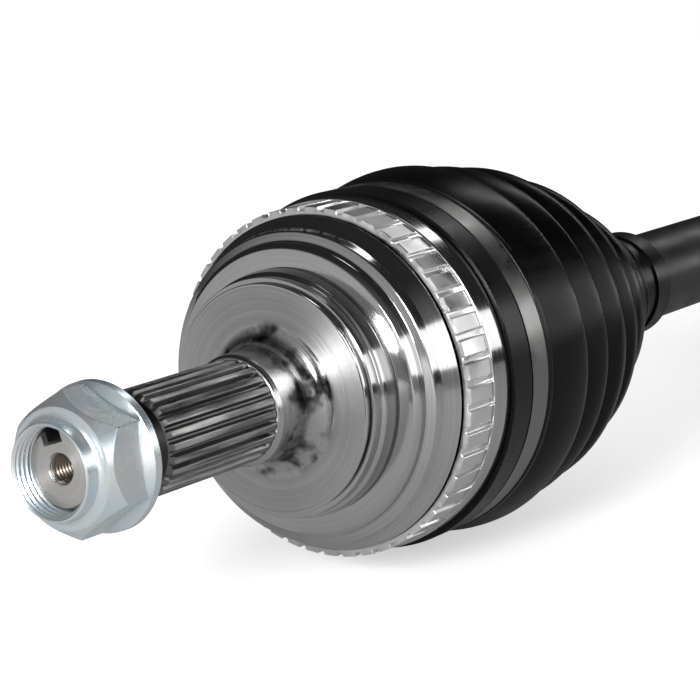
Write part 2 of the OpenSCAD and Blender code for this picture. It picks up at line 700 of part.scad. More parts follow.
module inner_boot() color(rubber) difference() {
    seat = housing_radius + seat_gap;
    small_end = mouth_x - inner_boot_length;
    groove_end = inner_clamp_groove + clamp_groove_width;
    turned(boot_outline(concat(
        large_cuff(seat, groove_end + 4, groove_end, inner_clamp_groove, -1),
        [[seat + boot_wall, mouth_x + 1.5], [seat + boot_wall - 1.9, mouth_x - 4]],
        fold_points(inner_folds, mouth_x, small_end + small_cuff_length, inner_boot_radius),
        small_cuff(small_end, -1))));
    rod(seat, mouth_x - seat_gap, groove_end + 5);
}

module inner_boot_clamp() color(band_steel) clamp(
    housing_radius + boot_wall - clamp_groove_depth + 2 * seat_gap,
    inner_clamp_groove + clamp_side_gap, inner_clamp_groove + clamp_side_gap + clamp_width);

module inner_boot_small_clamp() color(band_steel)
    small_clamp(mouth_x - inner_boot_length + small_cuff_length / 2);

axle_nut();
outer_race();
abs_ring();
outer_boot();
outer_boot_clamp();
outer_boot_small_clamp();
inner_race();
cage();
balls();
race_circlip();
axle_bar();
spider();
spider_circlip();
roller_hub(trunnion_angles[0]);  // roller_hub_top
roller_hub(trunnion_angles[1]);  // roller_hub_left
roller_hub(trunnion_angles[2]);  // roller_hub_right
needles(trunnion_angles[0]);  // needles_top
needles(trunnion_angles[1]);  // needles_left
needles(trunnion_angles[2]);  // needles_right
retainers(trunnion_angles[0]);  // retainers_top
retainers(trunnion_angles[1]);  // retainers_left
retainers(trunnion_angles[2]);  // retainers_right
outer_roller(trunnion_angles[0]);  // outer_roller_top
outer_roller(trunnion_angles[1]);  // outer_roller_left
outer_roller(trunnion_angles[2]);  // outer_roller_right
inner_housing();
stop_ring();
inner_boot();
inner_boot_clamp();
inner_boot_small_clamp();
stub_circlip();
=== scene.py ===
"""Dresses a front-wheel-drive half shaft: nut, outer ball joint, boots, bar and inner tripod joint.

Every length in the classes is in millimetres along the shaft (x) or outwards from its axis (radius).
Turned pieces are made with their own Z along the shaft, so that their turning marks reflect light
in fans, and the object's matrix lays them along the world's +X.
"""
import logging
import math
from dataclasses import dataclass
from enum import Enum
from typing import Callable, Sequence

import bmesh
import bpy
import numpy as np
from mathutils import Matrix, Vector


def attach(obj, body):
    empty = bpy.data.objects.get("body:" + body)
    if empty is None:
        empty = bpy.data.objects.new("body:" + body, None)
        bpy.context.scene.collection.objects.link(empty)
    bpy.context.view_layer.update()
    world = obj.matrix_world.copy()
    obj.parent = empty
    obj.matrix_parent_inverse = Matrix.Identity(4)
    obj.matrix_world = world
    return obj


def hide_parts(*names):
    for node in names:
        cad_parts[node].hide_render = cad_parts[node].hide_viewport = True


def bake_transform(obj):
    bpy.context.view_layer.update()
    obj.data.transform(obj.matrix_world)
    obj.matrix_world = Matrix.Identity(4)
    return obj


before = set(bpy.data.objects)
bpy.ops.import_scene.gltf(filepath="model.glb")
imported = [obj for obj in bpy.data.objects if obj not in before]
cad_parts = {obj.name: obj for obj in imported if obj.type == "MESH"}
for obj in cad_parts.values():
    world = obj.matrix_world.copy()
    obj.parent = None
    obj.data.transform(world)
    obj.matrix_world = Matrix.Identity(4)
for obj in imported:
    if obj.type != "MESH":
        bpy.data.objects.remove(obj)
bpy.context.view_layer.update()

MM = 0.001
ALONG_SHAFT = Matrix(((0, 0, 1, 0), (1, 0, 0, 0), (0, 1, 0, 0), (0, 0, 0, 1)))
LOG = logging.getLogger("half_shaft")

Profile = list[tuple[float, float]]
Color = tuple[float, float, float]
Lobe = tuple[float, float, float, float]


class Ray(Enum):
    """Kinds of light ray that the surroundings answer differently."""

    CAMERA = "Is Camera Ray"
    GLOSSY = "Is Glossy Ray"
    TRANSMISSION = "Is Transmission Ray"


class Axis(Enum):
    """Which way the shaft runs in a mesh's own coordinates."""

    OWN_Z = "own z"
    WORLD_X = "world x"


# Shader values.


class Value:
    """A number, colour or vector in a node tree, with arithmetic that adds nodes."""

    def __init__(self, tree: "Tree", socket: bpy.types.NodeSocket):
        self.tree = tree
        self.socket = socket

    @property
    def flat(self) -> bool:
        """True for a plain number."""
        return self.socket.type == "VALUE"

    def _combine(self, operation: str, first: object, second: object) -> "Value":
        """Adds a Math node for numbers, and a Vector Math node for vectors and colours."""
        both = [v for v in (first, second) if isinstance(v, Value)]
        if all(v.flat for v in both):
            return self.tree.get("ShaderNodeMath", {"operation": operation}, {0: first, 1: second})
        if operation == "MULTIPLY" and any(not isinstance(v, Value) or v.flat for v in (first, second)):
            vector_first = isinstance(first, Value) and not first.flat
            vector, factor = (first, second) if vector_first else (second, first)
            return self.tree.get("ShaderNodeVectorMath", {"operation": "SCALE"}, {0: vector, "Scale": factor})
        return self.tree.get("ShaderNodeVectorMath", {"operation": operation}, {0: first, 1: second})

    def __add__(self, other: object) -> "Value":
        """Sum."""
        return self._combine("ADD", self, other)

    __radd__ = __add__

    def __sub__(self, other: object) -> "Value":
        """Difference."""
        return self._combine("SUBTRACT", self, other)

    def __rsub__(self, other: object) -> "Value":
        """Difference, from a plain number."""
        return self._combine("SUBTRACT", other, self)

    def __mul__(self, other: object) -> "Value":
        """Product."""
        return self._combine("MULTIPLY", self, other)

    __rmul__ = __mul__

    def __truediv__(self, other: object) -> "Value":
        """Quotient."""
        return self._combine("DIVIDE", self, other)

    def __pow__(self, other: object) -> "Value":
        """Power."""
        return self._combine("POWER", self, other)

    def larger(self, other: object) -> "Value":
        """The larger of two numbers."""
        return self._combine("MAXIMUM", self, other)

    def ramp(self, low: float, high: float, to_low: float = 0.0, to_high: float = 1.0) -> "Value":
        """Maps the range low to high smoothly onto to_low to to_high.

        Args:
            low: Value that gives to_low.
            high: Value that gives to_high.
            to_low: Result at and below low.
            to_high: Result at and above high.

        Returns:
            The mapped value.
        """
        return self.tree.get(
            "ShaderNodeMapRange", {"interpolation_type": "SMOOTHSTEP"},
            {"Value": self, "From Min": low, "From Max": high, "To Min": to_low, "To Max": to_high})

    def mix(self, low: object, high: object) -> "Value":
        """Blends two colours, this value being the share of the second one."""
        return self.tree.get(
            "ShaderNodeMix", {"data_type": "RGBA"}, {"Factor": self, 6: low, 7: high}, output=2)


class Tree:
    """A node tree of a material or of the world, and the one method that adds nodes to it."""

    def __init__(self, tree: bpy.types.NodeTree):
        self.tree = tree
        tree.nodes.clear()

    def add(self, kind: str, settings: dict | None = None, inputs: dict | None = None) -> bpy.types.Node:
        """Adds a node.

        Args:
            kind: The node's type.
            settings: Its properties, which are set first.
            inputs: Values or links of its sockets, by name or number.

        Returns:
            The node.
        """
        node = self.tree.nodes.new(kind)
        for name, value in (settings or {}).items():
            setattr(node, name, value)
        for name, value in (inputs or {}).items():
            if isinstance(value, Value):
                self.tree.links.new(value.socket, node.inputs[name])
            elif value is not None:
                target = node.inputs[name]
                if target.type == "RGBA" and len(value) == 3:
                    value = (*value, 1)
                if target.type == "VECTOR" and isinstance(value, (int, float)):
                    value = (value, value, value)
                target.default_value = value
        return node

    def get(self, kind: str, settings: dict | None = None, inputs: dict | None = None,
            output: int | str = 0) -> Value:
        """Adds a node and returns one of its outputs."""
        return Value(self, self.add(kind, settings, inputs).outputs[output])

    def rays(self, *kinds: Ray) -> list[Value]:
        """Masks that are 1 for the kinds of ray asked for."""
        paths = self.add("ShaderNodeLightPath")
        return [Value(self, paths.outputs[kind.value]) for kind in kinds]

    def place(self) -> Value:
        """Position in the object's own coordinates, in metres."""
        return self.get("ShaderNodeTexCoord", output="Object")

    def split(self, vector: Value) -> tuple[Value, Value, Value]:
        """The three parts of a vector."""
        node = self.add("ShaderNodeSeparateXYZ", inputs={0: vector})
        return tuple(Value(self, node.outputs[i]) for i in range(3))

    def noise(self, scale: float, detail: float = 3.0, where: Value | None = None,
              stretch: tuple[float, float, float] | None = None, rough: float = 0.5) -> Value:
        """Three-dimensional noise from 0 to 1.

        Args:
            scale: Waves per metre.
            detail: Number of finer layers.
            where: Position; the object's own position when left out.
            stretch: Factors on the position's parts.
            rough: Strength of the finer layers.

        Returns:
            The noise value.
        """
        where = where or self.place()
        if stretch:
            where = self.get("ShaderNodeVectorMath", {"operation": "MULTIPLY"}, {0: where, 1: stretch})
        return self.get("ShaderNodeTexNoise", {},
                        {"Vector": where, "Scale": scale, "Detail": detail, "Roughness": rough})

    def lines(self, along: Value, scale: float, detail: float = 2.0) -> Value:
        """Noise along one number, which makes parallel or ring-shaped marks."""
        return self.get("ShaderNodeTexNoise", {"noise_dimensions": "1D"},
                        {"W": along, "Scale": scale, "Detail": detail, "Roughness": 0.6})

    def bump(self, height: Value, depth: float, below: Value | None = None) -> Value:
        """Bump normal from a height between 0 and 1 and a depth in metres, on top of the one below."""
        return self.get("ShaderNodeBump", {}, {"Height": height, "Distance": depth, "Normal": below},
                        output="Normal")


# Finishes.


def tinted(color: Color, factor: float) -> Color:
    """The colour made darker or lighter."""
    return tuple(factor * c for c in color)


@dataclass(frozen=True)
class Finish:
    """A surface with one colour, a little variation and a fine bump.

    Attributes:
        name: The material's name.
        slot: The record's material slot; not used.
        color: Base colour, linear.
        rough: Roughness.
        metal: Share of metal.
        uneven: How much the roughness changes from place to place.
        grain: Waves per metre of the fine bump.
        depth: Depth of the fine bump in metres.
        axis: Which way the shaft runs in the mesh.
        turned: How much the turning marks spread reflections across them.
        shine: Strength of the reflection of a finish that isn't metal.
    """

    name: str
    slot: str
    color: Color
    rough: float = 0.4
    metal: float = 1.0
    uneven: float = 0.1
    grain: float = 4000.0
    depth: float = 0.000004
    axis: Axis = Axis.WORLD_X
    turned: float = 0.0
    shine: float = 0.5

    def radius(self, tree: Tree) -> tuple[Value, Value, Value]:
        """Distance from the shaft's axis, place along it, and the position itself."""
        place = tree.place()
        x, y, z = tree.split(place)
        along, a, b = (z, x, y) if self.axis is Axis.OWN_Z else (x, y, z)
        return (a * a + b * b) ** 0.5, along, place

    @property
    def rough_range(self) -> tuple[float, float]:
        """Smallest and largest roughness."""
        return self.rough * (1 - self.uneven), self.rough * (1 + self.uneven)

    def color_at(self, tree: Tree) -> Value:
        """Base colour over the surface."""
        return tree.noise(60, 4).mix(tinted(self.color, 0.92), tinted(self.color, 1.06))

    def rough_at(self, tree: Tree) -> Value:
        """Roughness over the surface."""
        return tree.noise(120, 5).ramp(0.25, 0.75, *self.rough_range)

    def normal_at(self, tree: Tree) -> Value:
        """Normal over the surface."""
        return tree.bump(tree.noise(self.grain, 2), self.depth)

    def material(self) -> bpy.types.Material:
        """The material, made once and then shared."""
        label = f"{self.name}_finish"
        found = bpy.data.materials.get(label)
        if found:
            return found
        made = bpy.data.materials.new(label)
        made.use_nodes = True
        tree = Tree(made.node_tree)
        shader = tree.add("ShaderNodeBsdfPrincipled", {}, {
            "Base Color": self.color_at(tree), "Roughness": self.rough_at(tree), "Metallic": self.metal,
            "Normal": self.normal_at(tree), "Specular IOR Level": self.shine, "Anisotropic": self.turned,
            "Anisotropic Rotation": 0.25})
        tree.add("ShaderNodeOutputMaterial", {}, {0: Value(tree, shader.outputs[0])})
        made.diffuse_color = (*self.color, 1)
        return made


@dataclass(frozen=True)
class TurnedSteel(Finish):
    """Steel with ring-shaped marks of a lathe tool, and dark blotches near the neck: oil, together with
    painted shade and painted reflections of the polished fillet.

    Attributes:
        marks: Tool marks per metre.
        mark_depth: Their depth in metres.
        oil_and_shade: Strength of the oil and of the painted shade and reflections near the neck, 0 for none.
    """

    marks: float = 5000.0
    mark_depth: float = 0.0000012
    oil_and_shade: float = 0.0

    def oil_and_shade_mask(self, tree: Tree) -> Value:
        """Where oil lies and where shade and reflections are painted: in blotches on the neck and its fillet,
        and nowhere on the steps.
        """
        radius, along, place = self.radius(tree)
        blotches = tree.noise(95, 3, place, rough=0.6).ramp(0.42, 0.60)
        near = radius.ramp(0.0186, 0.0206, 1, 0) * along.ramp(-0.013, -0.0095)
        return blotches * near * self.oil_and_shade

    def color_at(self, tree: Tree) -> Value:
        """Steel, darker under the oil and the painted shade and reflections."""
        radius, along, place = self.radius(tree)
        tone = tree.lines(radius + along, 700, 3) * 0.5 + tree.noise(45, 3, place) * 0.5
        steel = tone.ramp(0.3, 0.7).mix(tinted(self.color, 0.9), tinted(self.color, 1.08))
        # Painted shade and reflections, along with the oil: blotches near the neck are darkened to a tenth of
        # the steel's colour.
        return self.oil_and_shade_mask(tree).mix(steel, tinted(self.color, 0.10)) if self.oil_and_shade else steel

    def rough_at(self, tree: Tree) -> Value:
        """Roughness in rings, smoother under the oil."""
        radius, along, _ = self.radius(tree)
        rings = tree.lines(radius + along, 1500, 2).ramp(0.3, 0.7, *self.rough_range)
        return rings * (1 - self.oil_and_shade_mask(tree) * 0.45) if self.oil_and_shade else rings

    def normal_at(self, tree: Tree) -> Value:
        """Ring-shaped tool marks."""
        radius, along, _ = self.radius(tree)
        return tree.bump(tree.lines(radius + along, self.marks, 2), self.mark_depth)


@dataclass(frozen=True)
class SplineSteel(Finish):
    """Dark hardened spline with marks along the teeth, and bright crests: worn steel with a painted
    highlight.

    Attributes:
        crest: Radius of the tooth crests in metres.
        worn_and_highlit: Colour of the worn crests, which also carries their painted highlight.
    """

    crest: float = 0.01305
    worn_and_highlit: Color = (0.42, 0.41, 0.40)

    def wear_and_highlight(self, tree: Tree) -> Value:
        """Bright wear on the tooth crests, in streaks, which also paints the crests' highlight."""
        radius, _, place = self.radius(tree)
        streaks = tree.noise(700, 4, place, (1, 1, 0.08)).ramp(0.38, 0.62)
        return radius.ramp(self.crest - 0.00022, self.crest - 0.00004) * streaks

    def color_at(self, tree: Tree) -> Value:
        """Dark steel with bright crests, partly a painted highlight."""
        dark = tree.noise(250, 4, stretch=(1, 1, 0.2)).mix(tinted(self.color, 0.6), tinted(self.color, 1.3))
        # Painted highlight, along with the wear: the tooth crests are lightened.
        return self.wear_and_highlight(tree).mix(dark, self.worn_and_highlit)

    def normal_at(self, tree: Tree) -> Value:
        """Fine marks along the teeth."""
        return tree.bump(tree.noise(2600, 3, stretch=(1, 1, 0.06)), 0.00001)


@dataclass(frozen=True)
class ZincPlate(Finish):
    """Bright zinc with a faint blue tint and a soft, slightly pitted surface.

    Attributes:
        pitted: Depth of the pits in metres.
    """

    pitted: float = 0.000006

    def color_at(self, tree: Tree) -> Value:
        """Zinc, with cool and warm patches."""
        cool = tuple(c * t for c, t in zip(self.color, (0.92, 1.0, 1.05)))
        warm = tuple(c * t for c, t in zip(self.color, (1.02, 1.01, 0.98)))
        return tree.noise(90, 3).ramp(0.35, 0.65).mix(cool, warm)

    def normal_at(self, tree: Tree) -> Value:
        """Shallow pits under the plating."""
        pits = tree.noise(3600, 3, rough=0.6).ramp(0.45, 0.7)
        return tree.bump(tree.noise(5200, 2), self.depth, tree.bump(pits, self.pitted))


@dataclass(frozen=True)
class BootRubber(Finish):
    """Satin black thermoplastic with a fine moulded grain and faint dust.

    Attributes:
        dust: Colour where it is dusty.
    """

    dust: Color = (0.004, 0.004, 0.0042)

    def color_at(self, tree: Tree) -> Value:
        """Black with a trace of dust."""
        return tree.noise(35, 6, rough=0.65).ramp(0.5, 0.85).mix(self.color, self.dust)

    def rough_at(self, tree: Tree) -> Value:
        """Gloss that changes in rings and patches."""
        _, along, place = self.radius(tree)
        rings = tree.lines(along, 260, 3) * 0.4 + tree.noise(70, 4, place) * 0.6
        return rings.ramp(0.3, 0.7, *self.rough_range)


# The neck and the inner rim of the face get dark blotches: oil with painted shade and reflections.
NECK_STEEL = TurnedSteel("neck_steel", "machined_steel", (0.46, 0.455, 0.455), rough=0.24, uneven=0.3,
                         axis=Axis.OWN_Z, turned=0.5, oil_and_shade=1.0)
FACE_STEEL = TurnedSteel("face_steel", "machined_steel", (0.56, 0.555, 0.555), rough=0.44, uneven=0.12,
                         axis=Axis.OWN_Z, turned=0.85, oil_and_shade=1.0)
STEP_STEEL = TurnedSteel("step_steel", "machined_steel", (0.52, 0.515, 0.515), rough=0.12, uneven=0.25,
                         axis=Axis.OWN_Z, turned=0.5)
TRACK_STEEL = Finish("track_steel", "machined_steel", (0.50, 0.50, 0.50), rough=0.28)
RING_STEEL = Finish("ring_steel", "ring_steel", (0.74, 0.735, 0.73), rough=0.36, uneven=0.35, axis=Axis.OWN_Z,
                    grain=2600, depth=0.000008)
STUB_STEEL = TurnedSteel("stub_face_steel", "machined_steel", (0.68, 0.66, 0.635), rough=0.30,
                         axis=Axis.OWN_Z, turned=0.75)
HOLE_STEEL = Finish("hole_steel", "machined_steel", (0.16, 0.135, 0.11), rough=0.30, axis=Axis.OWN_Z)
THREAD_STEEL = Finish("thread_steel", "machined_steel", (0.20, 0.195, 0.19), rough=0.36, axis=Axis.OWN_Z)
# Near black: painted shade in the undercut under the nut's flange.
UNDERCUT_SHADE_STEEL = Finish("dark_steel", "machined_steel", (0.045, 0.044, 0.043), rough=0.34, axis=Axis.OWN_Z)
SPLINE_STEEL = SplineSteel("spline_steel", "machined_steel", (0.17, 0.167, 0.165), rough=0.36, uneven=0.3,
                           axis=Axis.OWN_Z)
ZINC = ZincPlate("zinc_plate", "zinc", (0.69, 0.73, 0.75), rough=0.26, metal=0.82, uneven=0.2,
                 axis=Axis.OWN_Z)
GROUND_STEEL = Finish("ground_steel", "ground_steel", (0.62, 0.62, 0.62), rough=0.16)
SPRING_STEEL = Finish("spring_steel", "spring_steel", (0.10, 0.10, 0.105), rough=0.42)
BAND_STEEL = Finish("band_steel", "band_steel", (0.24, 0.235, 0.228), rough=0.30, uneven=0.3, grain=1500,
                    depth=0.000006)
BLACK_BAND = Finish("black_band", "band_steel", (0.035, 0.035, 0.036), rough=0.34, uneven=0.3, grain=1500,
                    depth=0.000006)
HOUSING_STEEL = TurnedSteel("housing_steel", "machined_steel", (0.42, 0.415, 0.41), rough=0.34, uneven=0.2)
RUBBER = BootRubber("boot_rubber", "boot_rubber", (0.0015, 0.0015, 0.0016), rough=0.28, metal=0.0,
                    uneven=0.25, grain=5200, depth=0.000012, axis=Axis.OWN_Z, shine=0.24)
BAR_PAINT = Finish("bar_paint", "bar_paint", (0.008, 0.008, 0.0085), rough=0.38, metal=0.0, uneven=0.2,
                   grain=900, depth=0.00001, shine=0.5)


# Meshes.


def rounded(points: Sequence[tuple], steps: int = 4) -> Profile:
    """Rounds the corners of an outline.

    Args:
        points: Corners as (x, radius) or (x, radius, rounding), in millimetres.
        steps: Number of spans in a rounding.

    Returns:
        The outline's points as (x, radius).
    """
    made: Profile = []
    for i, point in enumerate(points):
        corner = Vector(point[:2])
        size = point[2] if len(point) > 2 else 0.0
        if not size or i in (0, len(points) - 1):
            made.append(tuple(corner))
            continue
        before, after = Vector(points[i - 1][:2]) - corner, Vector(points[i + 1][:2]) - corner
        reach = min(size, 0.48 * before.length, 0.48 * after.length)
        start, end = corner + before.normalized() * reach, corner + after.normalized() * reach
        for step in range(steps + 1):
            t = step / steps
            made.append(tuple(start * (1 - t) ** 2 + corner * 2 * t * (1 - t) + end * t ** 2))
    return made


def new_object(name: str, mesh: bpy.types.Mesh, finish: Finish, body: str | None,
               sharp: float) -> bpy.types.Object:
    """Makes an object of a mesh, dresses it and lets it ride.

    Args:
        name: Name of the piece and of its mesh.
        mesh: Its mesh, in metres, with its own Z along the shaft.
        finish: Its finish.
        body: The body that it rides on, or None for a piece that rides on no body.
        sharp: Edges over this angle in degrees stay sharp.

    Returns:
        The object.
    """
    mesh.name = name
    made = bpy.data.objects.new(name, mesh)
    bpy.context.scene.collection.objects.link(made)
    mesh.polygons.foreach_set("use_smooth", [True] * len(mesh.polygons))
    mesh.set_sharp_from_angle(angle=math.radians(sharp))
    weighted = made.modifiers.new("flat faces stay flat", "WEIGHTED_NORMAL")
    weighted.keep_sharp = True
    weighted.weight = 80
    mesh.materials.clear()
    mesh.materials.append(finish.material())
    made.matrix_world = ALONG_SHAFT
    if body:
        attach(made, body)
    LOG.info("%s: %d faces, on %s", name, len(mesh.polygons), body or "two bodies")
    return made


def clean_mesh(rows: np.ndarray, faces: Sequence[tuple], join: float,
               thin: float | None = None) -> bpy.types.Mesh:
    """A mesh whose coinciding points are joined and whose faces all look outwards.

    Args:
        rows: Its points in rows, in millimetres.
        faces: Numbers of the points of each face.
        join: Points closer than this are joined, in metres.
        thin: Faces thinner than this are taken out, in metres, if given.

    Returns:
        The mesh, in metres.
    """
    mesh = bpy.data.meshes.new("mesh")
    mesh.from_pydata((rows.reshape(-1, 3) * MM).tolist(), [], faces)
    joined = bmesh.new()
    joined.from_mesh(mesh)
    bmesh.ops.remove_doubles(joined, verts=joined.verts, dist=join)
    if thin is not None:
        bmesh.ops.dissolve_degenerate(joined, edges=joined.edges, dist=thin)
    bmesh.ops.recalc_face_normals(joined, faces=joined.faces)
    joined.to_mesh(mesh)
    joined.free()
    return mesh


def grid_mesh(rows: np.ndarray, closed_rows: bool = False) -> bpy.types.Mesh:
    """A mesh of rings of points.

    Args:
        rows: Points as [row, column, (a, b, along)], in millimetres. Columns go round the shaft.
        closed_rows: True if the last row joins the first one.

    Returns:
        The mesh, in metres.
    """
    count, around = rows.shape[:2]
    faces = []
    for i in range(count if closed_rows else count - 1):
        below, above = i * around, (i + 1) % count * around
        faces += [(below + j, below + (j + 1) % around, above + (j + 1) % around, above + j)
                  for j in range(around)]
    return clean_mesh(rows, faces, join=1e-7)


def lathe(outline: Profile, around: int, closed: bool = False) -> bpy.types.Mesh:
    """A mesh of revolution about its own Z.

    Args:
        outline: Points as (x, radius).
        around: Number of faces round the shaft.
        closed: True if the outline is a loop.

    Returns:
        The mesh.
    """
    turns = np.arange(around) / around * 2 * math.pi
    rows = np.array([[(r * math.cos(t), r * math.sin(t), x) for t in turns] for x, r in outline])
    return grid_mesh(rows, closed)


def toothed(sections: Sequence[tuple], teeth: int, tooth: Profile) -> bpy.types.Mesh:
    """A toothed length of shaft.

    Args:
        sections: Stations as (x, radius at the tooth crests, radius at the roots), and for a ragged
            edge also how far its points stray.
        teeth: Number of teeth.
        tooth: One tooth as (share of the pitch, height from 0 at the root to 1 at the crest).

    Returns:
        The mesh.
    """
    jumps, growth = 17.3, 1.7
    rows = []
    for x, crest, root, *ragged in sections:
        ring = []
        for i in range(teeth):
            for share, height in tooth:
                turn = (i + share) / teeth * 2 * math.pi
                stray = ragged[0] * math.sin(jumps * (i + share) ** growth + x) if ragged else 0.0
                r = root + (crest - root) * height - abs(stray) / 2
                ring.append((r * math.cos(turn), r * math.sin(turn), x + stray))
        rows.append(ring)
    return grid_mesh(np.array(rows))


@dataclass(frozen=True)
class Column:
    """One line of points along a round surface, plain or across the staking slot.

    Attributes:
        turn: Its turn about the shaft, in radians.
        across: Its place across the slot, in millimetres, or None outside the slot.
        sunk: True on the slot's floor, False on the surface beside the slot.
    """

    turn: float
    across: float | None = None
    sunk: bool = False


@dataclass(frozen=True)
class StakingSlot:
    """The slot in the stub's end that the nut's collar is staked into. Its floor rises along the shaft.

    Attributes:
        front: Place of the stub's end.
        angle: Turn of the slot's middle, in degrees.
        half_width: Half of its width.
        floor: Distance of its floor from the shaft's axis at the front.
        slope: Rise of the floor along the shaft.
        clear: Half of the turn, in degrees, that plain columns keep out of.
    """

    front: float
    angle: float = 69.5
    half_width: float = 2.9
    floor: float = 5.8
    slope: float = 0.364
    clear: float = 30.0

    @property
    def corner(self) -> float:
        """Radius of the slot's bottom corners at its front."""
        return math.hypot(self.floor, self.half_width)

    def columns(self, around: int) -> list[Column]:
        """Columns once round the shaft, with extra ones on both walls and the floor of the slot.

        Args:
            around: Number of columns of a plain turn.

        Returns:
            The columns, in the order of their turns.
        """
        middle, clear = math.radians(self.angle), math.radians(self.clear)
        plain = [i / around * 2 * math.pi for i in range(around)]
        made = [Column(t) for t in plain if abs(t - middle) > clear]
        across = [self.half_width * s for s in (-1, -0.6, -0.2, 0.2, 0.6, 1)]
        made += [Column(middle + math.asin(v / self.corner), v, True) for v in across]
        beside = 1.001 * math.asin(self.half_width / self.corner)
        made += [Column(middle + s * beside, s * self.half_width) for s in (-1, 1)]
        return sorted(made, key=lambda column: column.turn)

    def point(self, column: Column, place: float, radius: float) -> tuple[float, float, float]:
        """A point of the slotted surface.

        Args:
            column: The column that it lies on.
            place: Its place along the shaft.
            radius: The surface's radius there without the slot.

        Returns:
            The point in the mesh's own coordinates.
        """
        if column.across is None or radius < self.corner - 0.01:
            return radius * math.cos(column.turn), radius * math.sin(column.turn), place
        out = math.sqrt(max(radius ** 2 - column.across ** 2, 0.0))
        if column.sunk:
            out = min(out, self.floor + self.slope * (place - self.front))
        c, s = math.cos(math.radians(self.angle)), math.sin(math.radians(self.angle))
        return out * c - column.across * s, out * s + column.across * c, place


@dataclass
class Thread:
    """A single-start thread, drawn as a sheet with real flanks that ends in smooth run-outs.

    Attributes:
        start: Place of its front end.
        end: Place of its back end.
        major: Radius at the crests of the screw.
        minor: Radius at its roots.
        pitch: Distance between two crests.
        around: Number of columns round the shaft.
        slot: The slot that is cut into it, if any.
        flat: Share of the pitch that the crest takes up.
        flank: Share of the pitch that one flank takes up.
    """

    start: float
    end: float
    major: float
    minor: float
    pitch: float = 1.5
    around: int = 96
    slot: StakingSlot | None = None
    flat: float = 0.08
    flank: float = 0.40

    @property
    def corners(self) -> tuple[float, float, float, float, float]:
        """Shares of the pitch at which the thread's section turns."""
        return 0.0, self.flat, self.flat + self.flank, 1 - self.flank, 1.0

    def radius_at(self, phase: float) -> float:
        """Radius of the thread's section at a share of its pitch."""
        radii = (self.major, self.major, self.minor, self.minor, self.major)
        return float(np.interp(phase % 1.0, self.corners, radii))

    def mesh(self, limit: Callable[[float, float], float]) -> bpy.types.Mesh:
        """The thread's surface.

        Args:
            limit: Gives the radius at a place along the shaft from the thread's own radius there.

        Returns:
            The mesh.
        """
        corners = self.corners
        breaks = [b for low, high in zip(corners, corners[1:]) for b in (low, (low + high) / 2)]
        turns = int(math.ceil((self.end - self.start) / self.pitch)) + 1
        columns = []
        lines = self.slot.columns(self.around) if self.slot else [
            Column(i / self.around * 2 * math.pi) for i in range(self.around)]
        for line in lines:
            share = line.turn / (2 * math.pi)
            places = [self.start]
            for k in range(-1, turns + 1):
                places += [self.start + (k + share + b) * self.pitch for b in breaks]
            places = [min(max(p, self.start), self.end) for p in places] + [self.end]
            column = []
            for p in places:
                r = limit(p, self.radius_at((p - self.start) / self.pitch - share))
                column.append(self.slot.point(line, p, r) if self.slot
                              else (r * math.cos(line.turn), r * math.sin(line.turn), p))
            columns.append(column)
        rows = np.array(columns).transpose(1, 0, 2)
        count, around = rows.shape[:2]
        shift = len(breaks)
        faces = []
        for i in range(count - 1):
            below, above = i * around, (i + 1) * around
            faces += [(below + j, below + j + 1, above + j + 1, above + j) for j in range(around - 1)]
            a, b = below + around - 1, above + around - 1
            c, d = min(i + shift, count - 1) * around, min(i + 1 + shift, count - 1) * around
            faces.append((a, c, d, b))
        for i in range(shift):
            faces.append((around - 1, i * around, (i + 1) * around))
        return clean_mesh(rows, faces, join=2e-6, thin=1e-7)


# Sub-assemblies.


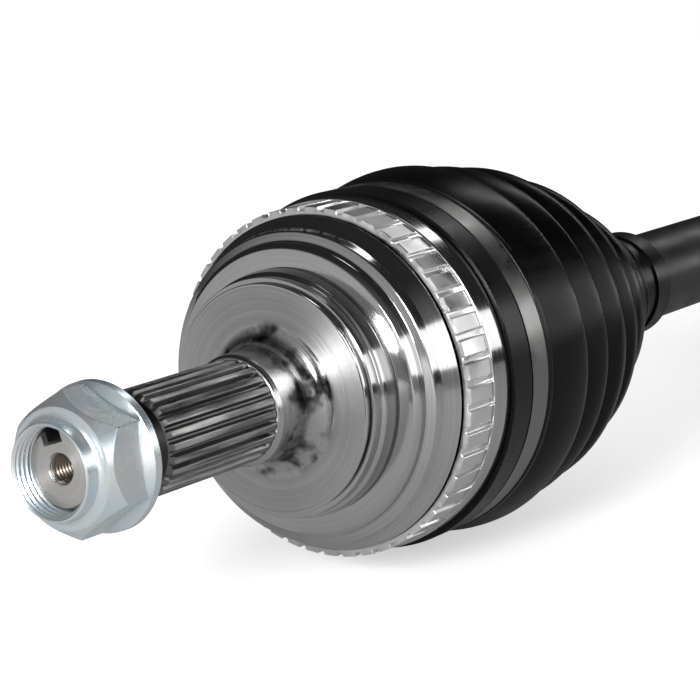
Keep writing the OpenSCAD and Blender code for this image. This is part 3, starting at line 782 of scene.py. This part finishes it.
@dataclass
class AxleNut:
    """The zinc-plated flange nut with its thin staking collar.

    Attributes:
        back: Place of the seat.
        flange_rim: Place of the rim of the flange's cone.
        shoulder: Place of the hexagon's front face.
        shoulder_rim: Radius at which the hexagon's chamfer starts.
        front: Place of the collar's front.
        collar: Radius of the collar.
        across: Width across the flats.
        corner_turn: Turn of one corner, in degrees.
        blunt: How much the corners are worn off.
        flange: Radius of the flange.
        major: Radius at the thread's roots in the nut.
        minor: Radius at its crests.
        chamfer_slope: Rise of the hexagon's chamfer along the shaft.
        flange_slope: Run of the flange's cone along the shaft for its rise.
    """

    back: float = -63.0
    flange_rim: float = -65.5
    shoulder: float = -77.15
    shoulder_rim: float = 14.2
    front: float = -81.2
    collar: float = 11.45
    across: float = 30.0
    corner_turn: float = 81.6
    blunt: float = 0.07
    flange: float = 17.75
    major: float = 11.05
    minor: float = 10.14
    chamfer_slope: float = 0.84
    flange_slope: float = 0.42

    def hexagon_radius(self, turn: float) -> float:
        """Radius of the hexagon at a turn, with its corners slightly rounded."""
        local = (turn - math.radians(self.corner_turn + 30)) % (math.pi / 3)
        off = abs(local if local < math.pi / 6 else local - math.pi / 3)
        flat = self.across / 2 / math.cos(off)
        return min(flat, self.across / 2 / math.cos(math.radians(30)) - self.blunt)

    def columns(self) -> list[float]:
        """Turns of the mesh's columns, closer together at the corners."""
        made = []
        for side in range(6):
            corner = math.radians(self.corner_turn + 60 * side)
            made += [corner + math.radians(d) for d in (-0.9, -0.45, 0, 0.45, 0.9)]
            made += [corner + math.radians(d) for d in np.linspace(2.5, 57.5, 28)]
        return made

    def outline(self, turn: float) -> list[tuple[float, float]]:
        """Outside of the nut at a turn, from the collar's rim to the seat."""
        hexagon = self.hexagon_radius(turn)
        chamfer = self.shoulder + (hexagon - self.shoulder_rim) / self.chamfer_slope
        flange_top = self.flange_rim - 0.2 - (self.flange - hexagon) * self.flange_slope
        ring = [
            (self.front + 0.55, self.minor + 0.25), (self.front + 0.12, self.minor + 0.62),
            (self.front, self.minor + 0.85), (self.front + 0.10, self.collar - 0.22),
            (self.front + 0.35, self.collar), (self.front + 1.6, self.collar + 0.05),
            (self.front + 2.8, self.collar + 0.12), (self.front + 3.35, self.collar + 0.35),
            (self.shoulder - 0.3, self.collar + 1.0), (self.shoulder - 0.1, self.collar + 1.8),
            (self.shoulder - 0.05, self.shoulder_rim - 0.12), (self.shoulder, self.shoulder_rim),
        ]
        chamfer_length = chamfer - 0.08 - self.shoulder
        ring += [(self.shoulder + run, self.shoulder_rim + self.chamfer_slope * run)
                 for run in (0.5 * chamfer_length, chamfer_length)]
        ring += [(chamfer - 0.02, hexagon - 0.03), (chamfer + 0.05, hexagon)]
        foot = hexagon + 0.25
        ring += [(max(chamfer + 0.4, flange_top - 1.2), hexagon), (flange_top - 0.35, hexagon + 0.02),
                 (flange_top, foot)]
        ring += [(flange_top + (self.flange_rim - flange_top) * s, foot + (self.flange - 0.3 - foot) * s)
                 for s in (0.35, 0.7, 0.97)]
        ring += [(self.flange_rim + 0.12, self.flange - 0.12), (self.flange_rim + 0.35, self.flange - 0.08),
                 (self.back - 0.4, self.flange), (self.back - 0.12, self.flange - 0.12),
                 (self.back, self.flange - 0.4), (self.back, self.major + 1.2), (self.back - 0.9, self.major)]
        return ring

    def build(self) -> None:
        """Makes the nut's outside and its thread, in place of the plain node."""
        turns = self.columns()
        lines = [self.outline(t) for t in turns]
        rows = np.array([[(r * math.cos(t), r * math.sin(t), x) for t, (x, r) in zip(turns, ring)]
                         for ring in zip(*lines)])
        outside = new_object("nut_body", grid_mesh(rows), ZINC, "nut", 24)
        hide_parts("axle_nut")
        front, back = self.front + 0.55, self.back - 0.9
        thread = Thread(front, back, self.major, self.minor)

        def limit(place: float, radius: float) -> float:
            """Opens the thread into its chamfers at both ends."""
            return min(max(radius, self.minor + 0.25 - (place - front) * 0.9,
                           self.major - (back - place) * 0.9), self.major)

        new_object("nut_thread", thread.mesh(limit), ZINC, "nut", 28)


@dataclass
class OuterJoint:
    """The forging with the stub and the bell, its anti-lock ring and its cavity.

    Attributes:
        stub_end: Place of the stub's end.
        thread_end: Place where the stub's thread runs out.
        thread_major: Radius of the thread's crests.
        thread_minor: Radius of its roots.
        spline_front: Place where the spline begins.
        spline_back: Place where it ends.
        spline_crest: Radius of the spline's crests.
        spline_root: Radius of its roots.
        teeth: Number of spline teeth.
        hole: Radius of the centre hole.
        slot: The staking slot.
        pilot: Radius of the plain length behind the spline.
        fillet: Radius of the fillet between it and the bell's face.
        ring_front: Place of the ring's front.
        ring_back: Place of its back.
        ring_crest: Radius of its tooth tips.
        ring_root: Radius between its teeth.
        ring_bore: Radius of its bore.
        ring_teeth: Number of its teeth.
    """

    stub_end: float = -77.2
    thread_end: float = -59.2
    thread_major: float = 11.0
    thread_minor: float = 10.09
    spline_front: float = -54.0
    spline_back: float = -14.6
    spline_crest: float = 13.05
    spline_root: float = 11.85
    teeth: int = 26
    hole: float = 3.4
    slot: StakingSlot = StakingSlot(front=stub_end)
    pilot: float = 14.0
    fillet: float = 5.0
    ring_front: float = 21.3
    ring_back: float = 31.4
    ring_crest: float = 45.3
    ring_root: float = 44.35
    ring_bore: float = 43.0
    ring_teeth: int = 48

    def bell_outline(self) -> Profile:
        """Outside of the bell from the run-out behind the spline to the ring's seat."""
        run_out = (self.spline_back, 11.6)
        pilot = rounded([run_out, (-14.3, 13.35, 0.3), (-13.6, 13.75, 0.3), (-13.1, self.pilot, 0.3),
                         (-self.fillet, self.pilot)], 3)
        fillet = [(self.fillet * (math.sin(a) - 1), self.pilot + self.fillet * (1 - math.cos(a)))
                  for a in np.linspace(0, math.pi / 2, 12)]
        steps = rounded([
            (0, 19.0), (0, 19.2), (0, 28.6), (0, 29.15, 0.25), (0.85, 29.25, 0.2), (0.95, 28.45, 0.1),
            (1.65, 28.45, 0.1), (1.75, 30.35, 0.15), (4.6, 30.5, 0.2), (5.2, 31.2, 0.15), (8.6, 31.7, 0.2),
            (8.75, 31.1, 0.1), (9.5, 31.05, 0.1), (9.65, 36.35, 0.25), (10.9, 37.6, 0.4), (12.9, 37.75, 0.3),
            (13.55, 40.2, 0.5), (16.4, 40.6, 0.5), (20.2, 43.35, 0.3), (20.3, 42.6, 0.1), (21.0, 42.5)])
        return [run_out, *pilot[1:-1], *fillet, *steps[1:]]

    def land_outline(self) -> Profile:
        """Land behind the ring, boot seat and mouth."""
        return rounded([
            (31.3, 42.9), (31.3, 45.75, 0.2), (31.6, 46.0, 0.2), (38.0, 46.0, 0.2), (38.38, 45.6, 0.15),
            (38.4, 45.2, 0.1), (56.0, 45.2, 0.4), (57.0, 44.2, 0.4), (57.0, 35.6, 0.3), (56.0, 34.5)])

    def inside(self) -> bpy.types.Mesh:
        """The bell's cavity with its ball tracks, taken from the solid node."""
        hole_end, cavity_front, mouth, skin_depth = self.stub_end + 20, 7.5, 56.8, 1.2
        kept = bmesh.new()
        kept.from_mesh(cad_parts["outer_race"].data)
        ring_seat = [(21.5, 42.6), (29.2, 42.9)]
        outside = np.array(self.bell_outline() + ring_seat + self.land_outline()[1:-6])
        gone = []
        for face in kept.faces:
            middle = face.calc_center_median() / MM
            radius = math.hypot(middle.y, middle.z)
            skin = float(np.interp(middle.x, outside[:, 0], outside[:, 1]))
            in_hole = middle.x < hole_end and radius < self.hole + 0.05
            if not in_hole and (not cavity_front <= middle.x <= mouth or radius > skin - skin_depth):
                gone.append(face)
        bmesh.ops.delete(kept, geom=gone, context="FACES")
        made = bpy.data.meshes.new("mesh")
        kept.to_mesh(made)
        kept.free()
        made.transform(ALONG_SHAFT.inverted())
        return made

    def stub(self) -> None:
        """The threaded end with its face, centre hole and staking slot."""
        thread = Thread(self.stub_end + 1.7, self.thread_end, self.thread_major, self.thread_minor,
                        slot=self.slot)

        def limit(place: float, radius: float) -> float:
            """Cuts the thread's ends down into the chamfer and the undercut."""
            front = self.thread_minor - 0.6 + (place - thread.start) * 0.8
            back = self.thread_minor - 0.05 + (self.thread_end - place) * 0.8
            return min(radius, max(front, 9.4), max(back, self.thread_minor - 0.05))

        new_object("stub_thread", thread.mesh(limit), THREAD_STEEL, "bell", 28)
        self.centre_hole()
        lines = self.slot.columns(128)
        end = self.stub_end
        rings = [(end + 0.75, self.hole - 0.1), (end, self.hole + 0.42), (end + 0.001, self.hole + 0.6),
                 (end + 0.001, self.slot.corner), (end + 0.001, 8.7), (end, 8.85), (end + 0.1, 9.02),
                 (end + 0.55, 9.4), (end + 1.7, 9.49)]
        rows = np.array([[self.slot.point(line, x, r) for line in lines] for x, r in rings])
        new_object("stub_face", grid_mesh(rows), STUB_STEEL, "bell", 28)

    def centre_hole(self) -> None:
        """The thread of the centre hole, which a puller screws into."""
        thread = Thread(self.stub_end + 0.75, self.stub_end + 15.0, self.hole - 0.02, self.hole - 0.5,
                        pitch=1.0, around=48)

        def limit(place: float, radius: float) -> float:
            """Opens the thread into the countersink and runs it out at its back."""
            opened = self.hole - 0.1 - (place - thread.start) * 0.8
            run_out = thread.minor + (place - thread.end + 0.6)
            return min(max(radius, opened, run_out), thread.major)

        new_object("hole_thread", thread.mesh(limit), HOLE_STEEL, "bell", 28)

    def build(self) -> None:
        """Makes the joint's visible surfaces."""
        outline = self.bell_outline()
        face, step = (next(i for i, (x, r) in enumerate(outline) if x > -0.01 and r > rim)
                      for rim in (19.1, 28.5))
        neck = new_object("bell_neck", lathe(outline[:face + 1], 224), NECK_STEEL, "bell", 28)
        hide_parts("outer_race")
        new_object("bell_face", lathe(outline[face:step + 1], 224), FACE_STEEL, "bell", 28)
        new_object("bell_steps", lathe(outline[step:], 224), STEP_STEEL, "bell", 28)
        new_object("bell_land", lathe(self.land_outline(), 224), STEP_STEEL, "bell", 28)
        new_object("joint_cavity", self.inside(), TRACK_STEEL, "bell", 30)
        self.stub()
        self.spline()
        self.ring()

    def spline(self) -> None:
        """The undercut behind the thread, and the spline with its chamfered front and its run-out."""
        undercut = rounded([
            (self.thread_end, self.thread_minor - 0.05), (-57.6, 10.0, 0.6), (-56.4, 10.0, 0.6),
            (self.spline_front + 0.1, self.spline_root - 0.1)])
        # The undercut is painted near black as the shade under the nut's flange.
        new_object("stub_undercut", lathe(undercut, 128), UNDERCUT_SHADE_STEEL, "bell", 28)
        tooth = [(0.0, 0.0), (0.07, 0.03), (0.11, 0.12), (0.235, 0.86), (0.27, 0.97), (0.31, 1.0),
                 (0.50, 1.0), (0.69, 1.0), (0.73, 0.97), (0.765, 0.86), (0.89, 0.12), (0.93, 0.03)]
        front, back = self.spline_front, self.spline_back
        crest, root = self.spline_crest, self.spline_root
        stations = [
            (front + 0.1, root - 0.15, root - 0.1), (front + 0.35, root + 0.1, root),
            (front + 1.25, crest - 0.12, root), (front + 1.6, crest, root), (-40, crest, root),
            (-28, crest, root), (back - 1.6, crest, root), (back - 0.9, crest, root + 0.35),
            (back, crest, crest - 0.25)]
        new_object("stub_spline", toothed(stations, self.teeth, tooth), SPLINE_STEEL, "bell", 26)

    def ring(self) -> None:
        """The toothed anti-lock ring, with small chamfers on its teeth and ragged edges in front."""
        tooth = [(0.0, 0.0), (0.10, 0.0), (0.135, 0.12), (0.175, 0.88), (0.20, 1.0), (0.35, 0.965),
                 (0.5, 0.955), (0.65, 0.965), (0.80, 1.0), (0.825, 0.88), (0.865, 0.12), (0.90, 0.0)]
        front, back, bore = self.ring_front, self.ring_back, self.ring_bore
        crest, root = self.ring_crest, self.ring_root
        stations = [
            (front + 0.25, bore, bore), (front, bore + 0.3, bore + 0.3), (front, root - 0.5, root - 0.5),
            (front + 0.03, root - 0.10, root - 0.15, 0.05), (front + 0.12, crest - 0.15, root, 0.10),
            (front + 0.34, crest, root, 0.06), (back - 0.4, crest, root),
            (back, crest - 0.25, root - 0.1), (back, bore, bore)]
        ring = new_object("toothed_ring", toothed(stations, self.ring_teeth, tooth), RING_STEEL, "bell", 24)
        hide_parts("abs_ring")


@dataclass
class Boots:
    """Both ribbed boots as smooth sheets, baked in place.

    Attributes:
        outer_lobes: Lobes of the outer boot as (place and radius of the crest, of the crease behind it).
        inner_lobes: Lobes of the inner boot, from its large cuff.
        wall: Thickness of the rubber.
    """

    outer_lobes: Sequence[Lobe] = (
        (69.5, 49.6, 76.2, 44.6), (84.0, 47.6, 90.0, 41.3), (96.3, 45.8, 106.3, 35.6),
        (111.3, 41.1, 124.0, 25.8), (130.7, 32.4, 143.8, 20.6), (148.5, 23.2, 156.5, 18.9),
        (158.4, 19.6, 162.6, 15.25))
    inner_lobes: Sequence[Lobe] = (
        (377.5, 43.5, 369.0, 36.6), (361.5, 40.4, 354.0, 31.1), (346.5, 35.8, 339.0, 26.0),
        (332.0, 29.1, 325.0, 20.0), (319.0, 20.8, 312.5, 15.25))
    wall: float = 2.0

    @staticmethod
    def side_point(crest: tuple[float, float], crease: tuple[float, float], share: float
                   ) -> tuple[float, float]:
        """A point on a lobe's side, at a share of the way from the crease to the crest."""
        rest = 1 - share
        return crest[0] - (crest[0] - crease[0]) * rest, crest[1] - (crest[1] - crease[1]) * rest ** 2

    def lobes(self, start: tuple[float, float], lobes: Sequence[Lobe]) -> Profile:
        """Rounded lobes with narrow creases between them.

        Args:
            start: The crease in front of the first lobe.
            lobes: The lobes.

        Returns:
            The outline's points, from the start to the last crease.
        """
        made = [start]
        shares = (0.10, 0.22, 0.36, 0.52, 0.70, 0.86)
        for lobe in lobes:
            front, crest, back = made[-1], lobe[:2], lobe[2:]
            made += [self.side_point(crest, front, share) for share in shares]
            made.append(crest)
            made += [self.side_point(crest, back, share) for share in reversed(shares)]
            made.append(back)
        return made

    def sheet(self, outline: Profile) -> bpy.types.Mesh:
        """A sheet of even thickness that follows an outline.

        Args:
            outline: Outside of the boot.

        Returns:
            The mesh, with its hidden inner side.
        """
        inner = [(x, r - self.wall) for x, r in reversed(outline)]
        return lathe(outline + inner, 176, closed=True)

    def build(self) -> None:
        """Makes both boots."""
        cuff = rounded([
            (38.6, 47.0), (38.65, 47.25, 0.2), (46.85, 47.25, 0.3), (47.1, 46.6, 0.15), (55.0, 46.6, 0.15),
            (55.25, 47.5, 0.3), (56.7, 47.65, 0.6), (57.6, 46.9)])
        small = rounded([(162.6, 15.25), (163.2, 15.2), (180.5, 15.2, 0.3), (180.95, 14.8)])
        outline = cuff[:-1] + self.lobes(cuff[-1], self.outer_lobes)[:-1] + small
        boot = new_object("outer_boot_sheet", self.sheet(outline), RUBBER, None, 32)
        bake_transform(boot)
        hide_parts("outer_boot")
        self.inner_boot()

    def inner_boot(self) -> None:
        """The inner boot in two sheets that meet in a valley.

        The joint bends between the bar and the roller carriers, and slides between those and the housing;
        both sheets are baked in place and ride on no body.
        """
        cuff = rounded([
            (405.55, 41.2), (405.5, 41.55, 0.3), (401.75, 41.55, 0.2), (401.5, 40.9, 0.15),
            (393.7, 40.9, 0.15), (393.45, 41.55, 0.2), (390.5, 41.55, 0.5), (385.0, 39.65)])
        small = rounded([(312.5, 15.25), (312.2, 15.2), (301.5, 15.2, 0.3), (301.05, 14.8)])
        outline = cuff[:-1] + self.lobes(cuff[-1], self.inner_lobes)[:-1] + small
        valley = self.inner_lobes[0][2:]
        meet = min(range(len(outline)), key=lambda i: math.dist(outline[i], valley))
        joined = outline[meet][0] * MM
        wide = new_object("inner_boot_wide", self.sheet(outline[:meet + 1]), RUBBER, None, 32)
        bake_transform(wide)
        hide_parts("inner_boot")
        narrow = new_object("inner_boot_narrow", self.sheet(outline[meet:]), RUBBER, None, 32)
        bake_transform(narrow)


@dataclass(frozen=True)
class Panel:
    """A long light panel that runs along the shaft and is seen only in reflections.

    Attributes:
        turn: Turn of its middle about the shaft, in degrees.
        half_width: Half of the turn that it covers, in degrees.
        begins: Part of a direction along the shaft at which the panel begins.
        whole: The same part where it has its full strength.
        strength: Its full strength.
    """

    turn: float
    half_width: float
    begins: float
    whole: float
    strength: float

    def glow(self, x: Value, y: Value, z: Value, off_axis: Value) -> Value:
        """Its light over the directions of the room.

        Args:
            x: Part of the direction along the shaft.
            y: Sideways part.
            z: Upward part.
            off_axis: Length of the last two together.

        Returns:
            Its strength on the panel and 0 beside it.
        """
        c, s = math.cos(math.radians(self.turn)), math.sin(math.radians(self.turn))
        edge = math.cos(math.radians(self.half_width))
        mask = ((y * c + z * s) / off_axis).ramp(edge - 0.004, edge + 0.002)
        return mask * x.ramp(self.begins, self.whole, 0, self.strength)


@dataclass
class Studio:
    """Camera, floor and lights.

    Attributes:
        camera: Place of the camera, in metres.
        look: Direction in which it looks.
        lens: Its focal length, in millimetres.
        floor: Height of the floor, in metres.
        lit_point: Point that the lamp shines at, in metres.
        lamp_toward: Direction from that point to the lamp.
        lamp_distance: Distance of the lamp, in metres.
        lamp_side: Length of its sides, in metres.
        lamp_power: Its power, in watts.
        panels: The light panels of the room.
    """

    camera: tuple[float, float, float] = (-0.4753, -0.3596, 0.1492)
    look: tuple[float, float, float] = (0.79637, 0.56195, -0.22333)
    lens: float = 127.93
    floor: float = -0.0520
    lit_point: tuple[float, float, float] = (0.02, 0, 0)
    lamp_toward: tuple[float, float, float] = (-0.91, -0.25, 0.335)
    lamp_distance: float = 1.2
    lamp_side: float = 0.30
    lamp_power: float = 13.0
    panels: Sequence[Panel] = (Panel(158.6, 13.0, -0.75, -0.55, 1.9), Panel(82.0, 6.0, 0.3, 0.6, 2.6))

    def build(self) -> None:
        """Makes the whole studio."""
        self.aim_camera()
        self.lay_floor()
        self.light()
        self.surround()

    def aim_camera(self) -> None:
        """Puts the camera where the photograph was taken from."""
        data = bpy.data.cameras.new("camera")
        data.lens = self.lens
        data.sensor_width = 36.0
        data.clip_start = 0.01
        camera = bpy.data.objects.new("camera", data)
        bpy.context.scene.collection.objects.link(camera)
        camera.location = self.camera
        camera.rotation_euler = Vector(self.look).to_track_quat("-Z", "Y").to_euler()
        bpy.context.scene.camera = camera

    def lay_floor(self) -> None:
        """A pale floor that looks white to the camera and keeps the shaft's shadow."""
        mesh = bpy.data.meshes.new("floor")
        half = 4.0
        mesh.from_pydata([(-half, -half, self.floor), (half, -half, self.floor), (half, half, self.floor),
                          (-half, half, self.floor)], [], [(0, 1, 2, 3)])
        floor = bpy.data.objects.new("floor", mesh)
        bpy.context.scene.collection.objects.link(floor)
        material = bpy.data.materials.new("floor")
        material.use_nodes = True
        tree = Tree(material.node_tree)
        seen = tree.rays(Ray.CAMERA)[0]
        shader = tree.add("ShaderNodeBsdfPrincipled", {}, {
            "Base Color": seen.mix((0.56, 0.56, 0.56), (0.90, 0.90, 0.90)), "Roughness": 0.9,
            "Emission Color": seen.mix((0, 0, 0), (1, 1, 1)), "Emission Strength": 0.55})
        tree.add("ShaderNodeOutputMaterial", {}, {0: Value(tree, shader.outputs[0])})
        mesh.materials.append(material)

    def light(self) -> None:
        """A soft square lamp on the camera's side."""
        data = bpy.data.lights.new("front_lamp", "AREA")
        data.shape = "RECTANGLE"
        data.size = data.size_y = self.lamp_side
        data.energy = self.lamp_power
        lamp = bpy.data.objects.new("front_lamp", data)
        bpy.context.scene.collection.objects.link(lamp)
        direction = Vector(self.lamp_toward).normalized()
        lamp.location = Vector(self.lit_point) + direction * self.lamp_distance
        lamp.rotation_euler = (-direction).to_track_quat("-Z", "Y").to_euler()

    def surround(self) -> None:
        """A room that is white to the camera and a graded studio in reflections."""
        world = bpy.data.worlds.new("studio")
        bpy.context.scene.world = world
        world.use_nodes = True
        tree = Tree(world.node_tree)
        seen, through, glossy = tree.rays(Ray.CAMERA, Ray.TRANSMISSION, Ray.GLOSSY)
        x, y, z = tree.split(tree.get("ShaderNodeTexCoord", output="Generated"))
        off_axis = (y * y + z * z + 0.0001) ** 0.5
        front = x.ramp(-0.85, -0.35, 0.42, 0)
        right = y.ramp(-0.80, -0.45, 0.25, 0) * x.ramp(0.1, 0.5, 1, 0)
        graded = front.larger(right) * z.ramp(0.0, 0.8, 1.0, 0.5) + 0.026
        for panel in self.panels:
            graded = graded + panel.glow(x, y, z, off_axis)
        shade = glossy.mix((0.50, 0.50, 0.51), (1, 1, 1)) * (glossy * graded + (1 - glossy))
        color = seen.larger(through).mix(shade, (1, 1, 1))
        background = tree.add("ShaderNodeBackground", {}, {"Color": color, "Strength": 1.0})
        tree.add("ShaderNodeOutputWorld", {}, {0: Value(tree, background.outputs[0])})
        bpy.context.scene.view_settings.view_transform = "Standard"


def on_all_sides(piece: str) -> list[str]:
    """Names of a piece's three nodes round the tripod."""
    return [f"{piece}_{side}" for side in ("top", "left", "right")]


# Finishes of the solid nodes that keep their own meshes.
NODE_FINISHES: dict[Finish, list[str]] = {
    BAND_STEEL: ["outer_boot_clamp", "inner_boot_clamp"],
    BLACK_BAND: ["outer_boot_small_clamp", "inner_boot_small_clamp"],
    GROUND_STEEL: ["inner_race", "cage", "balls", "spider", *on_all_sides("roller_hub"),
                   *on_all_sides("needles"), *on_all_sides("outer_roller")],
    SPRING_STEEL: ["race_circlip", "spider_circlip", "stop_ring", "stub_circlip",
                   *on_all_sides("retainers")],
    BAR_PAINT: ["axle_bar"],
    HOUSING_STEEL: ["inner_housing"],
}


def dress_nodes(finishes: dict[Finish, list[str]]) -> None:
    """Gives the solid nodes that stay their finishes.

    Args:
        finishes: Names of the nodes that wear each finish.
    """
    for finish, names in finishes.items():
        for name in names:
            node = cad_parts[name]
            node.data.materials.clear()
            node.data.materials.append(finish.material())
            LOG.info("%s: %s", name, finish.name)


def main() -> None:
    """Builds the studio and every sub-assembly in order."""
    logging.basicConfig(level=logging.INFO, format="%(name)s: %(message)s")
    Studio().build()
    dress_nodes(NODE_FINISHES)
    AxleNut().build()
    OuterJoint().build()
    Boots().build()


if __name__ == "__main__":
    main()
